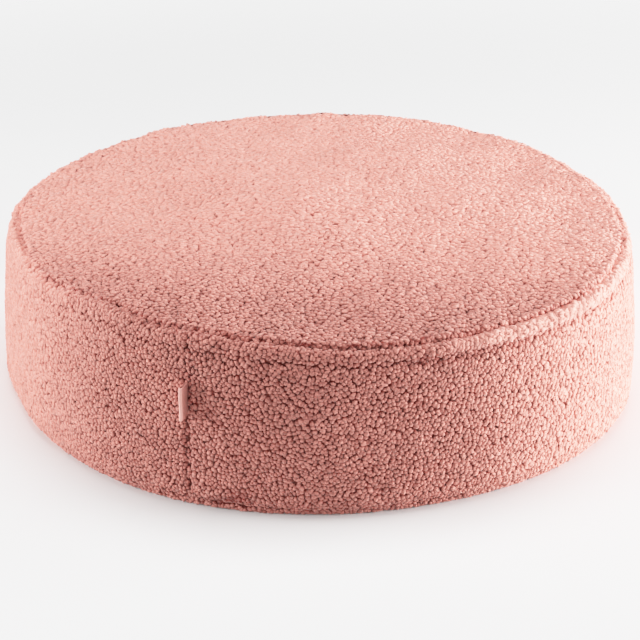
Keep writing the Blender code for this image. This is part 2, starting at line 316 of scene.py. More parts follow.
    def _gathers(self, azimuth: Array, run: Array) -> Array:
        """Gathers along the top seam, dying out above and below it."""
        beside = run - self.run_of("top seam")
        more = self.gathered_swell - self.pucker_swell
        size = self.pucker_swell + more * self.gathered(azimuth)
        lean = self.pucker_lean * beside
        wave = sum(p.share * np.sin(p.turns * azimuth + p.phase + lean) for p in self.puckers)
        return size * np.exp(-((beside / self.pucker_reach) ** 2)) * wave

    def _dents(self, points: Array) -> Array:
        """Soft dents of the filled cloth at points in space."""
        swell = np.zeros(points.shape[:-1])
        for dent in self.dents:
            along = points @ np.array([dent.east, dent.north, dent.up])
            swell += dent.swell * np.sin(2 * np.pi * along / dent.length + dent.phase)
        return swell

    def _drift(self, azimuth: Array) -> Array:
        """How far towards the crown the top seam lies: smooth steps between its stays."""
        stay = np.radians([s.azimuth for s in self.stays] + [self.stays[0].azimuth + 360])
        inward = np.array([s.inward for s in self.stays] + [self.stays[0].inward])
        at = stay[0] + (azimuth - stay[0]) % (2 * np.pi)
        span = np.clip(np.searchsorted(stay, at, side="right") - 1, 0, len(inward) - 2)
        share = (at - stay[span]) / (stay[span + 1] - stay[span])
        return inward[span] + (inward[span + 1] - inward[span]) * (1 - bell(share, 1.0))

    def point(self, azimuth: Array, run: Array) -> Array:
        """Points of the surface.

        Args:
            azimuth: Azimuths in radians.
            run: Runs in metres, of the same shape.

        Returns:
            The points, with x, y and z along a last axis, in the row frame.
        """
        inward = self._drift(azimuth) * bell(run - self.run_of("top seam"), self.seam_stay_reach)
        place = run - inward
        reach = np.interp(place, self._run, self._curve[:, 0])
        rise = np.interp(place, self._run, self._curve[:, 1])
        out_reach = np.interp(place, self._run, self._outward[:, 0])
        out_rise = np.interp(place, self._run, self._outward[:, 1])
        soft = self._ridge(azimuth, run) + self._gathers(azimuth, run)
        soft = soft + self._dents(turned(azimuth, reach, rise))
        off_floor = np.clip(rise / self.channel_half_width, 0.0, 1.0)
        swell = self._channels(azimuth, run, reach) + soft * off_floor
        seam_reach = np.interp(self.run_of("top seam"), self._run, self._curve[:, 0])
        share = np.minimum(1.0, reach / seam_reach) * np.minimum(1.0, rise / self.seam_height)
        reach_wave = np.zeros_like(reach)
        rise_wave = np.zeros_like(reach)
        for wave in self.waves:
            cosine, sine = np.cos(wave.turns * azimuth), np.sin(wave.turns * azimuth)
            reach_wave += wave.reach_cos * cosine + wave.reach_sin * sine
            rise_wave += wave.rise_cos * cosine + wave.rise_sin * sine
        reach = (reach + swell * out_reach) * (1 + reach_wave / self.band_radius)
        rise = rise + swell * out_rise + rise_wave * share**2
        return turned(azimuth, reach, rise) + self.shift

    def surface(self, azimuth: Array, run: Array) -> Surface:
        """Points of the surface with their directions, by small steps along it."""
        point = self.point(azimuth, run)
        around = (self.point(azimuth + self.step_round, run)
                  - self.point(azimuth - self.step_round, run))
        level = np.stack([np.cos(azimuth), np.sin(azimuth), np.zeros_like(azimuth)], axis=-1)
        around = np.where((run < self.level_run)[..., None], level, unit(around))
        above = np.maximum(run - self.step_down, 0.0)
        below = np.minimum(run + self.step_down, self.length)
        down = unit(self.point(azimuth, below) - self.point(azimuth, above))
        outward = unit(np.cross(down, around))
        return Surface(point, around, unit(np.cross(around, outward)), outward)


class Fill(NamedTuple):
    """How full of pile a sewn channel is at a place: 0 is bare to its bottom and 1 is level."""

    place: float
    share: float


@dataclass(frozen=True)
class Crease:
    """A line where the pile parts: a sewn seam or a fold.

    Its ends are two azimuths in degrees and two runs. No curl stands within gap of it, and curls
    within tuck of it lean into it and sink by up to draw. Pile stands up out of a sewn channel of
    some depth by its fills, whose places are azimuths in degrees, or shares of the way down where
    the channel runs down. The pile's fills waver along the channel in three waves, of so many
    radians a metre and their phases.
    """

    azimuths: tuple[float, float]
    runs: tuple[float, float]
    gap: float
    tuck: float
    draw: float
    lean: float = 0.5
    depth: float = 0.0
    fills: tuple[Fill, ...] = (Fill(0, 0.0),)
    tufts: float = 0.30
    tuft_waves: tuple[tuple[float, float], ...] = ((370, 1.1), (611, 4.0), (1013, 0.0))

    def lift(self, azimuth: Array, run: Array, reach: Array, half_width: float) -> Array:
        """How far the pile stands up out of the channel.

        Args:
            azimuth: Azimuths of the curls.
            run: Runs of the curls.
            reach: Their distance from the middle line.
            half_width: Half the channel's width.

        Returns:
            The height that each curl is raised by.
        """
        upright = self.azimuths[0] == self.azimuths[1]
        down = (run - self.runs[0]) / max(self.runs[1] - self.runs[0], 1e-9)
        place = down if upright else np.degrees(turn_between(azimuth, 0.0))
        share = np.interp(place, [f.place for f in self.fills], [f.share for f in self.fills])
        along = run if upright else azimuth * reach
        tuft = sum(np.sin(along * turns + phase) for turns, phase in self.tuft_waves)
        share = np.clip(share + self.tufts * tuft * np.clip(4 * share, 0, 1) / 2, 0.0, 1.0)
        distance, _, _ = self.nearest(azimuth, run, reach)
        return self.depth * share * bell(distance, half_width)

    def nearest(self, azimuth: Array, run: Array, reach: Array) -> tuple[Array, Array, Array]:
        """How far the crease is from places on the surface, and which way.

        Args:
            azimuth: Azimuths of the places.
            run: Runs of the places.
            reach: Their distance from the middle line.

        Returns:
            The distance, and the direction to the crease as its shares around and down.
        """
        middle = math.radians(sum(self.azimuths) / 2)
        half_turn = math.radians(self.azimuths[1] - self.azimuths[0]) / 2
        x, y = turn_between(azimuth, middle) * reach, run - sum(self.runs) / 2
        end_x, end_y = half_turn * reach, (self.runs[1] - self.runs[0]) / 2
        length = np.maximum(end_x**2 + end_y**2, 1e-12)
        along = np.clip((x * end_x + y * end_y) / length, -1.0, 1.0)
        to_x, to_y = along * end_x - x, along * end_y - y
        distance = np.hypot(to_x, to_y)
        return distance, to_x / np.maximum(distance, 1e-9), to_y / np.maximum(distance, 1e-9)


def pouf_creases(form: PoufForm) -> tuple[Crease, ...]:
    """The seams and folds of the cover, where the photograph shows them."""
    top, base = form.run_of("top seam"), form.run_of("base seam")
    fold, rim = form.run_of("ridge crease"), form.length
    join = math.degrees(form.join_azimuth)
    top_fills = ((-180, 0.85), (-100, 0.80), (-78, 0.35), (-60, 0.70), (-42, 0.50), (-28, 0.25),
                 (-5, 0.12), (15, 0.12), (45, 0.08), (62, 0.22), (80, 0.70), (100, 0.85),
                 (180, 0.85))
    join_fills = ((0.0, 0.70), (0.25, 0.80), (0.43, 0.60), (0.47, 0.0), (0.53, 0.05),
                  (0.60, 0.35), (0.80, 0.60), (1.0, 0.90))
    top_seam = Crease((-180, 180), (top, top), gap=0.0002, tuck=0.0050, draw=0.0004, lean=0.5,
                      depth=form.top_seam_depth, fills=tuple(Fill(*f) for f in top_fills))
    base_seam = Crease((-180, 180), (base, base), gap=0.0003, tuck=0.0050, draw=0.0005, lean=0.3,
                       depth=form.base_seam_depth, fills=(Fill(0, 0.6),))
    join_seam = Crease((join, join), (top, base), gap=0.0002, tuck=0.0045, draw=0.0005, lean=0.4,
                       depth=form.join_seam_depth, fills=tuple(Fill(*f) for f in join_fills))
    ridge_crease = Crease((14, 84), (fold, fold), gap=0.0006, tuck=0.0050, draw=0.0012, lean=0.5)
    base_wrinkle = Crease((-16.6, -11.7), (rim - 0.0105, rim - 0.023), gap=0.0013, tuck=0.0060,
                          draw=0.0024, lean=0.8)
    return top_seam, base_seam, join_seam, ridge_crease, base_wrinkle


@dataclass
class MeshDraft:
    """Arrays of a mesh in the making: points, faces of one size each, and values on the points."""

    points: Array
    faces: list[Array] = field(default_factory=list)
    values: dict[str, Array] = field(default_factory=dict)
    bake_map: list[Array] = field(default_factory=list)

    def to_object(self, name: str, smooth: bool = True) -> bpy.types.Object:
        """The mesh as an object in the scene.

        Args:
            name: Name of the piece.
            smooth: Whether its faces are shaded smooth.

        Returns:
            The new object.
        """
        mesh = bpy.data.meshes.new(name)
        loops = np.concatenate([f.ravel() for f in self.faces]).astype(np.int32)
        sizes = np.concatenate([np.full(len(f), f.shape[1]) for f in self.faces])
        starts = np.concatenate([[0], np.cumsum(sizes)[:-1]]).astype(np.int32)
        mesh.vertices.add(len(self.points))
        mesh.vertices.foreach_set("co", self.points.astype(np.float32).ravel())
        mesh.loops.add(len(loops))
        mesh.loops.foreach_set("vertex_index", loops)
        mesh.polygons.add(len(starts))
        mesh.polygons.foreach_set("loop_start", starts)
        mesh.update(calc_edges=True)
        for title, value in self.values.items():
            if value.ndim == 1:
                layer = mesh.attributes.new(title, "FLOAT", "POINT")
                layer.data.foreach_set("value", value.astype(np.float32))
            else:
                layer = mesh.attributes.new(title, "FLOAT_VECTOR", "POINT")
                layer.data.foreach_set("vector", value.astype(np.float32).ravel())
        if self.bake_map:
            layer = mesh.uv_layers.new(name=BAKE_MAP)
            corners = np.concatenate([c.reshape(-1, 2) for c in self.bake_map])
            layer.data.foreach_set("uv", corners.astype(np.float32).ravel())
        if smooth:
            mesh.shade_smooth()
        thing = bpy.data.objects.new(name, mesh)
        bpy.context.scene.collection.objects.link(thing)
        return thing


def dress(piece: bpy.types.Object, material: bpy.types.Material,
          replaces: str | None = None) -> bpy.types.Object:
    """Give a piece its finish, and fix it to the pouf's body.

    Args:
        piece: The piece, in its place.
        material: Its finish.
        replaces: The CAD node that it stands for, if any.

    Returns:
        The piece.
    """
    piece.data.materials.clear()
    piece.data.materials.append(material)
    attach(piece, "root")
    if replaces:
        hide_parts(replaces)
    triangles = sum(len(p.vertices) - 2 for p in piece.data.polygons)
    LOG.info("%s: %d triangles", piece.name, triangles)
    return piece


class NodeDesk:
    """Lays out the nodes of one material or node group."""

    def __init__(self, tree: bpy.types.NodeTree) -> None:
        """Take a node tree to work on."""
        self.tree = tree

    def add(self, kind: str, settings: dict | None = None, **inputs: object) -> bpy.types.Node:
        """Add a node.

        Args:
            kind: The node's type name.
            settings: Values of its own properties.
            **inputs: Values or sockets for its inputs. An underscore stands for a space, and i0, i1
                and so on for inputs by number.

        Returns:
            The new node.
        """
        node = self.tree.nodes.new(kind)
        for key, value in (settings or {}).items():
            setattr(node, key, value)
        for key, value in inputs.items():
            numbered = key[0] == "i" and key[1:].isdigit()
            socket = node.inputs[int(key[1:])] if numbered else node.inputs[key.replace("_", " ")]
            if isinstance(value, bpy.types.NodeSocket):
                self.tree.links.new(value, socket)
            else:
                socket.default_value = value
        return node

    def math(self, operation: str, *values: object) -> bpy.types.NodeSocket:
        """The result of a Math node."""
        inputs = {f"i{n}": value for n, value in enumerate(values)}
        return self.add("ShaderNodeMath", {"operation": operation}, **inputs).outputs[0]

    def mix(self, share: object, first: object, second: object,
            blend: str = "MIX") -> bpy.types.NodeSocket:
        """The result of mixing two colours."""
        settings = {"data_type": "RGBA", "blend_type": blend}
        return self.add("ShaderNodeMix", settings, i0=share, i6=first, i7=second).outputs[2]

    def spread(self, value: object, low: float, high: float, to_low: float = 0.0,
               to_high: float = 1.0) -> bpy.types.NodeSocket:
        """A value's range spread over another, clamped."""
        return self.add("ShaderNodeMapRange", i0=value, i1=low, i2=high, i3=to_low,
                        i4=to_high).outputs[0]

    def value_of(self, name: str, kind: str = "Fac") -> bpy.types.NodeSocket:
        """A value kept on the mesh."""
        return self.add("ShaderNodeAttribute", {"attribute_name": name}).outputs[kind]

    def place(self) -> bpy.types.NodeSocket:
        """The place on the object, in metres."""
        return self.add("ShaderNodeTexCoord").outputs["Object"]

    def noise(self, place: object, scale: object, **inputs: object) -> bpy.types.NodeSocket:
        """Soft noise at places, with its scale and other inputs."""
        return self.add("ShaderNodeTexNoise", Vector=place, Scale=scale, **inputs).outputs[0]

    def effect(self, tree: bpy.types.NodeTree, **inputs: object) -> bpy.types.bpy_prop_collection:
        """The outputs of a shared node group, given its inputs."""
        return self.add("ShaderNodeGroup", {"node_tree": tree}, **inputs).outputs

    def shaded(self, colour: object, shade: object) -> bpy.types.NodeSocket:
        """A colour made darker or lighter by a shade."""
        grey = self.add("ShaderNodeCombineColor", i0=shade, i1=shade, i2=shade).outputs[0]
        return self.mix(1.0, colour, grey, "MULTIPLY")

    def bump(self, strength: float, distance: float, height: object) -> bpy.types.NodeSocket:
        """The normal of a surface with a fine relief."""
        return self.add("ShaderNodeBump", Strength=strength, Distance=distance,
                        Height=height).outputs[0]

    def feed(self, node: bpy.types.Node, **sockets: bpy.types.NodeSocket) -> None:
        """Wire sockets to a node's inputs by name. An underscore stands for a space."""
        for name, socket in sockets.items():
            self.tree.links.new(socket, node.inputs[name.replace("_", " ")])


def rgba(colour: Colour) -> tuple[float, float, float, float]:
    """A colour with full alpha."""
    return (*colour, 1.0)


@dataclass
class Effects:
    """The node groups that several finishes share, each made once."""

    patch_scale: float = 14.0
    patch_range: tuple[float, float] = (0.3, 0.7)
    tint_swing: float = 0.11
    root_to_tip: tuple[float, float] = (0.30, 0.95)
    strand_stretch: tuple[float, float, float] = (0.6, 1.3, 1.0)
    strand_share: float = 0.7
    strand_twist: float = 0.6
    lump_scale: float = 0.45
    fibre_height: tuple[float, float] = (0.32, 0.68)
    # Painted highlight and shade of the fibres: the albedo follows the same noise as the bump
    # height.
    painted_fibre_light: tuple[float, float, float, float] = (0.36, 0.64, 0.60, 1.22)
    over_share: float = 0.35
    gap_reach: float = 0.25

    def __post_init__(self) -> None:
        """Make the groups."""
        self.pile_tone = self._pile_tone()
        self.fibres = self._fibres()
        self.weave = self._weave()

    @staticmethod
    def _group(name: str, inputs: Sequence[tuple[str, str, object]],
               outputs: Sequence[tuple[str, str]]) -> tuple[NodeDesk, dict, bpy.types.Node]:
        """A new node group, with its desk, its inputs by name and its output node."""
        tree = bpy.data.node_groups.new(name, "ShaderNodeTree")
        for title, kind, value in inputs:
            socket = tree.interface.new_socket(name=title, in_out="INPUT", socket_type=kind)
            socket.default_value = value
        for title, kind in outputs:
            tree.interface.new_socket(name=title, in_out="OUTPUT", socket_type=kind)
        desk = NodeDesk(tree)
        source = desk.add("NodeGroupInput")
        return desk, {s.name: s for s in source.outputs if s.name}, desk.add("NodeGroupOutput")

    def _pile_tone(self) -> bpy.types.NodeTree:
        """Colour of dyed pile from its dark root to its tip, uneven from curl to curl. The dark
        root colour is painted shade down in the clefts between the curls.
        """
        desk, given, out = self._group(
            "pile_tone",
            [("Tip", "NodeSocketColor", (1, 1, 1, 1)), ("Root", "NodeSocketColor", (0, 0, 0, 1)),
             ("Combed", "NodeSocketColor", (1, 1, 1, 1)), ("Depth", "NodeSocketFloat", 1.0),
             ("Tint", "NodeSocketFloat", 0.5), ("Smoothness", "NodeSocketFloat", 0.0),
             ("Patchiness", "NodeSocketFloat", 0.1)],
            [("Color", "NodeSocketColor")])
        patches = desk.noise(desk.place(), self.patch_scale, Detail=3.0)
        level = desk.spread(patches, *self.patch_range, -1.0, 1.0)
        tint = desk.spread(given["Tint"], 0.0, 1.0, -self.tint_swing, self.tint_swing)
        shade = desk.math("ADD", desk.math("MULTIPLY_ADD", level, given["Patchiness"], 1.0), tint)
        climb = desk.spread(given["Depth"], *self.root_to_tip)
        tip = desk.mix(given["Smoothness"], given["Tip"], given["Combed"])
        desk.feed(out, Color=desk.shaded(desk.mix(climb, given["Root"], tip), shade))
        return desk.tree

    def _fibres(self) -> bpy.types.NodeTree:
        """Fine fibres that run along each lock of pile, as a height and a shade from the same
        noise: the shade is painted highlight on the raised fibres and painted shade between them.
        """
        desk, given, out = self._group(
            "lock_fibres",
            [("Lock", "NodeSocketVector", (0, 0, 0)), ("Fineness", "NodeSocketFloat", 1.0)],
            [("Shade", "NodeSocketFloat"), ("Height", "NodeSocketFloat")])
        drawn = desk.add("ShaderNodeVectorMath", {"operation": "MULTIPLY"}, i0=given["Lock"],
                         i1=self.strand_stretch).outputs[0]
        strands = desk.noise(drawn, given["Fineness"], Detail=3.0, Roughness=0.6,
                             Distortion=self.strand_twist)
        lumps = desk.noise(given["Lock"], self.lump_scale, Detail=2.0)
        both = desk.math("ADD", desk.math("MULTIPLY", strands, self.strand_share),
                         desk.math("MULTIPLY", lumps, 1 - self.strand_share))
        desk.feed(out, Height=desk.spread(both, *self.fibre_height),
                  Shade=desk.spread(both, *self.painted_fibre_light))
        return desk.tree

    def _weave(self) -> bpy.types.NodeTree:
        """Over-and-under weave of plain threads, as a height and a mask of the gaps."""
        desk, given, out = self._group(
            "plain_weave",
            [("Place", "NodeSocketVector", (0, 0, 0)), ("Threads", "NodeSocketFloat", 1000.0),
             ("Rib", "NodeSocketFloat", 1.0)],
            [("Height", "NodeSocketFloat"), ("Gap", "NodeSocketFloat")])
        parts = desk.add("ShaderNodeSeparateXYZ", i0=given["Place"]).outputs
        turns = desk.math("MULTIPLY", given["Threads"], math.pi)
        wefts = desk.math("MULTIPLY", turns, given["Rib"])
        across = desk.math("SINE", desk.math("MULTIPLY", parts[0], turns))
        along = desk.math("SINE", desk.math("MULTIPLY", parts[1], wefts))
        over = desk.math("MULTIPLY", across, along)
        rounded = desk.math("ABSOLUTE", over)
        height = desk.math("ADD", desk.math("MULTIPLY", over, self.over_share),
                           desk.math("MULTIPLY", rounded, 1 - self.over_share))
        desk.feed(out, Height=height, Gap=desk.spread(rounded, 0.0, self.gap_reach, 1.0, 0.0))
        return desk.tree


def principled(
        name: str, roughness: float, sheen: float = 0.0, sheen_tint: Colour = (1.0, 1.0, 1.0),
) -> tuple[bpy.types.Material, NodeDesk, bpy.types.Node]:
    """A new material with its desk and its shader."""
    material = bpy.data.materials.new(name)
    material.use_nodes = True
    shader = material.node_tree.nodes["Principled BSDF"]
    shader.inputs["Roughness"].default_value = roughness
    shader.inputs["Specular IOR Level"].default_value = SPECULAR_LEVEL
    shader.inputs["Sheen Weight"].default_value = sheen
    shader.inputs["Sheen Roughness"].default_value = SHEEN_ROUGHNESS
    shader.inputs["Sheen Tint"].default_value = rgba(sheen_tint)
    return material, NodeDesk(material.node_tree), shader


@dataclass(frozen=True)
class FleeceFinish:
    """Dusty pink curly fleece."""

    tip: Colour = (0.82, 0.262, 0.209)
    # Painted shade: each curl darkens towards this colour down at its root, in the clefts.
    root: Colour = (0.26, 0.030, 0.022)
    combed: Colour = (0.80, 0.275, 0.222)
    patchiness: float = 0.05
    roughness: float = 0.95
    sheen: float = 0.35
    sheen_tint: Colour = (1.0, 0.72, 0.66)
    fineness: float = 0.55
    relief: float = 0.9
    fibre_height: float = 0.0016
    worn_fibres: float = 0.40

    def material(self, effects: Effects) -> bpy.types.Material:
        """The finish of the curls."""
        made, desk, shader = principled("fleece_curls", self.roughness, self.sheen, self.sheen_tint)
        tone = desk.effect(effects.pile_tone, Tip=rgba(self.tip), Root=rgba(self.root),
                           Combed=rgba(self.combed), Depth=desk.value_of("depth"),
                           Tint=desk.value_of("tint"), Smoothness=desk.value_of("combed"),
                           Patchiness=self.patchiness)
        fibres = desk.effect(effects.fibres, Lock=desk.value_of("lock", "Vector"),
                             Fineness=self.fineness)
        # Where the pile is worn, the painted fibre highlight and shade fade along with the fibre
        # relief.
        fresh = desk.spread(desk.value_of("wear"), 0.0, 1.0, 1.0, self.worn_fibres)
        over = desk.math("SUBTRACT", fibres["Shade"], 1.0)
        shade = desk.math("MULTIPLY_ADD", over, fresh, 1.0)
        height = desk.math("MULTIPLY", fibres["Height"], fresh)
        desk.feed(shader, Base_Color=desk.shaded(tone["Color"], shade),
                  Normal=desk.bump(self.relief, self.fibre_height, height))
        return made


@dataclass(frozen=True)
class ClothFinish:
    """Plain woven or knitted cloth: the fleece's backing and the base panel."""

    name: str
    colour: Colour
    gap_colour: Colour
    roughness: float = 0.95
    sheen: float = 0.2
    sheen_tint: Colour = (1.0, 0.8, 0.75)
    threads: float = 1100.0
    relief: float = 0.5
    thread_height: float = 0.0004
    patchiness: float = 0.08

    def material(self, effects: Effects) -> bpy.types.Material:
        """The finish of the cloth."""
        made, desk, shader = principled(self.name, self.roughness, self.sheen, self.sheen_tint)
        weave = desk.effect(effects.weave, Place=desk.place(), Threads=self.threads, Rib=1.0)
        tone = desk.effect(effects.pile_tone, Tip=rgba(self.colour), Root=rgba(self.gap_colour),
                           Combed=rgba(self.colour), Tint=0.5, Smoothness=0.0,
                           Depth=desk.math("SUBTRACT", 1.0, weave["Gap"]),
                           Patchiness=self.patchiness)
        desk.feed(shader, Base_Color=tone["Color"],
                  Normal=desk.bump(self.relief, self.thread_height, weave["Height"]))
        return made


@dataclass(frozen=True)
class ThreadFinish:
    """Twisted sewing thread, dyed to match the fleece."""

    colour: Colour = (0.50, 0.17, 0.13)
    shadow: Colour = (0.25, 0.07, 0.05)
    roughness: float = 0.6
    fineness: float = 2.0
    relief: float = 0.6
    twist_height: float = 0.0002

    def material(self, effects: Effects) -> bpy.types.Material:
        """The finish of the stitches."""
        made, desk, shader = principled("sewing_thread", self.roughness)
        twist = desk.effect(effects.fibres, Lock=desk.value_of("lock", "Vector"),
                            Fineness=self.fineness)["Height"]
        desk.feed(shader, Base_Color=desk.mix(twist, rgba(self.shadow), rgba(self.colour)),
                  Normal=desk.bump(self.relief, self.twist_height, twist))
        return made


@dataclass(frozen=True)
class RibbonFinish:
    """Pale satin ribbon with fine ribs across it, with painted shade on its flanks away from the
    nose, where the pile beside it shades it.
    """

    colour: Colour = (0.88, 0.385, 0.33)
    # The colour of the weave's gaps, and of the painted shade on the flanks.
    shadow: Colour = (0.45, 0.13, 0.10)
    roughness: float = 0.62
    sheen: float = 0.1
    threads: float = 2200.0
    rib: float = 0.6
    gap_share: float = 0.5
    relief: float = 0.35
    thread_height: float = 0.0002
    painted_shade_start: float = 0.0020
    painted_shade_full: float = 0.0038
    painted_shade_share: float = 0.8

    def material(self, effects: Effects) -> bpy.types.Material:
        """The finish of the label."""
        made, desk, shader = principled("label_ribbon", self.roughness, self.sheen)
        ribbon = desk.value_of("ribbon", "Vector")
        weave = desk.effect(effects.weave, Place=ribbon, Threads=self.threads, Rib=self.rib)
        from_nose = desk.add("ShaderNodeSeparateXYZ", i0=ribbon).outputs[2]
        # Painted shade: darker from the nose back along the flanks towards the seam.
        painted_shade = desk.spread(from_nose, self.painted_shade_start, self.painted_shade_full, 0.0, self.painted_shade_share)
        gap = desk.math("MULTIPLY", weave["Gap"], self.gap_share)
        colour = desk.mix(desk.math("MAXIMUM", gap, painted_shade), rgba(self.colour), rgba(self.shadow))
        desk.feed(shader, Base_Color=colour,
                  Normal=desk.bump(self.relief, self.thread_height, weave["Height"]))
        return made


@dataclass(frozen=True)
class FloorFinish:
    """Plain pale studio floor that fades into the backdrop away from the part."""

    colour: Colour = (0.80, 0.80, 0.80)
    roughness: float = 0.9
    mottle_scale: float = 1.5
    mottle_shade: float = 0.985
    solid_reach: float = 0.8
    clear_reach: float = 2.4

    def material(self) -> bpy.types.Material:
        """The finish of the floor."""
        made, desk, shader = principled("pale_floor", self.roughness)
        place = desk.place()
        mottle = desk.noise(place, self.mottle_scale, Detail=2.0)
        away = desk.add("ShaderNodeVectorMath", {"operation": "LENGTH"}, i0=place).outputs["Value"]
        shade = desk.spread(mottle, 0.3, 0.7, self.mottle_shade, 1.0)
        desk.feed(shader, Base_Color=desk.shaded(rgba(self.colour), shade),
                  Alpha=desk.spread(away, self.solid_reach, self.clear_reach, 1.0, 0.0))
        return made


class Sector(Enum):
    """Parts of the pile, by the azimuths in degrees that they lie between."""

    FRONT_LEFT = (-90, -30)
    FRONT_RIGHT = (-30, 30)
    RIGHT = (30, 90)
    BACK_RIGHT = (90, 150)
    BACK = (150, 210)
    BACK_LEFT = (210, 270)

    def holds(self, azimuth: Array) -> Array:
        """Which azimuths lie in the sector."""
        low, high = self.value
        return (np.degrees(azimuth) - low) % 360 < high - low


@dataclass
class CurlPlaces:
    """Where each curl of a panel stands, its room in each direction, and how it lies."""

    azimuth: Array
    surface: Surface
    room: Array
    flatness: Array
    lift: Array
    sink: Array
    lean_round: Array
    lean_down: Array
    smoothness: Array
    wear: Array


@dataclass
class CurlyFleece:
    """The curly pile of one panel: low domed locks, set close like popcorn over the backing.

    Each lock fills the cell between itself and its neighbours, so that thin clefts part them all.
    """

    form: PoufForm
    creases: tuple[Crease, ...]
    name: str
    runs: tuple[float, float]
    spacing: float = 0.0038
    spacing_spread: tuple[float, float] = (0.74, 1.32)
    tries: float = 6.0
    packing: float = 0.7
    run_samples: int = 2000
    batches: int = 10
    neighbours: int = 10
    gap_spread: tuple[float, float] = (0.6, 1.5)
    sides: int = 6
    pile_depth: float = 0.0046
    ring_reach: tuple[float, float] = (1.12, 0.95)
    ring_rise: tuple[float, float] = (0.0, 0.72)
    widest: float = 0.0048
    within_clump: float = 1.10
    uneven: float = 0.18
    rise_uneven: float = 0.22
    crest_offset: float = 0.45
    tip_scatter: float = 0.0003
    clump_spacing: float = 0.0066
    clump_pull: float = 0.10
    clump_rise: float = 0.0004
    own_lean: float = 0.25
    droop: float = 0.12
    ridge_azimuth: float = math.radians(47)
    ridge_spread: float = math.radians(36)
    ridge_breadth: float = 1.8
    ridge_reach: float = 0.62
    ridge_overlap: float = 0.40
    ridge_flatness: float = 0.30
    worn_flatness: float = 0.33
    worn_overlap: float = 0.18
    worn_from: float = -0.395
    worn_to: float = -0.20
    worn_slope: float = 0.13
    worn_evenness: float = 0.6
    worn_shade_lift: float = 0.6
    size_range: tuple[float, float] = (0.95, 1.16)
    bake_rings: tuple[float, float] = (0.47, 0.30)
    locks_apart: float = 500
    floor_clearance: float = 0.0002
    seed: int = SEED

    def _candidates(self, draw: np.random.Generator) -> tuple[Array, Array]:
        """Random places over the panel, evenly by area."""
        fine = np.linspace(*self.runs, self.run_samples)
        reach = self.form.reach(fine)
        area = 2 * math.pi * float(reach.mean()) * (self.runs[1] - self.runs[0])
        count = int(self.tries * self.packing * area / self.spacing**2)
        total = np.cumsum(reach)
        run = np.interp(draw.random(count), total / total[-1], fine)
        return draw.uniform(-math.pi, math.pi, count), run

    def _thinned(self, points: Array, spacing: Array) -> Array:
        """Indexes of points at least their own spacing apart, the first ones first."""
        kept: list[int] = []
        for batch in np.array_split(np.arange(len(points)), self.batches):
            if kept:
                standing = self._tree(points[kept])
                free = [i for i in batch if standing.find(points[i])[2] > spacing[i]]
                batch = np.array(free, int)
            among = self._tree(points[batch])
            dropped: set[int] = set()
            for order, index in enumerate(batch):
                if order not in dropped:
                    kept.append(int(index))
                    near = among.find_range(points[index], spacing[index])
                    dropped.update(other for _, other, _ in near if other > order)
        return np.array(kept)

    @staticmethod
    def _tree(points: Array) -> KDTree:
        """A search tree of points."""
        tree = KDTree(len(points))
        for index, point in enumerate(points):
            tree.insert(point, index)
        tree.balance()
        return tree

    def _wear(self, points: Array) -> Array:
        """How worn the pile is, from 0 at the front to 1 at the back, sooner to the right."""
        span = self.worn_to - self.worn_from
        back = points[:, 1] + self.worn_slope * points[:, 0]
        return 1 - bell(np.clip((back - self.worn_from) / span, 0.0, 1.0), 1.0)

    def _clumped(self, azimuth: Array, run: Array,
                 draw: np.random.Generator) -> tuple[Array, Array, Array, Array]:
        """Draw the curls together in small clumps, so that deeper clefts part the clumps.

        Args:
            azimuth: Azimuths of the curls.
            run: Runs of the curls.
            draw: Source of the random draws.

        Returns:
            Their new azimuths and runs, each one's clump, and how far its clump sinks.
        """
        surface = self.form.surface(azimuth, run)
        leaders = self._thinned(surface.point, np.full(len(run), self.clump_spacing))
        tree = self._tree(surface.point[leaders])
        mine = np.array([tree.find(p)[1] for p in surface.point])
        reach = np.maximum(self.form.reach(run), 0.01)
        free = np.ones(len(run))
        for crease in self.creases:
            free *= 1 - np.exp(-((crease.nearest(azimuth, run, reach)[0] / crease.tuck) ** 2))
        pull = (surface.point[leaders[mine]] - surface.point) * (self.clump_pull * free)[:, None]
        azimuth = azimuth + np.sum(pull * surface.around, axis=1) / reach
        run = np.clip(run + np.sum(pull * surface.down, axis=1), *self.runs)
        return azimuth, run, mine, np.abs(draw.normal(0.0, self.clump_rise, len(leaders)))[mine]

    def _room(self, surface: Surface, clump: Array) -> Array:
        """How far each curl reaches in each direction before it meets a neighbour's half.

        Args:
            surface: Where the curls stand.
            clump: The clump of each. Curls of one clump grow into each other.

        Returns:
            The reach of each curl in twice as many directions as it has sides.
        """
        tree = self._tree(surface.point)
        near = np.array([[index for _, index, _ in tree.find_n(p, self.neighbours)]
                         for p in surface.point])
        apart = surface.point[near[:, 1:]] - surface.point[:, None, :]
        x = np.sum(apart * surface.around[:, None, :], axis=2)
        y = np.sum(apart * surface.down[:, None, :], axis=2)
        angle = math.pi * np.arange(2 * self.sides) / self.sides
        facing = x[..., None] * np.cos(angle) + y[..., None] * np.sin(angle)
        share = np.where(clump[near[:, 1:]] == clump[:, None], self.within_clump, 1.0)
        reach = (share * (x**2 + y**2))[..., None] / (2 * np.maximum(facing, 1e-6))
        return np.minimum(reach.min(axis=1), self.widest)

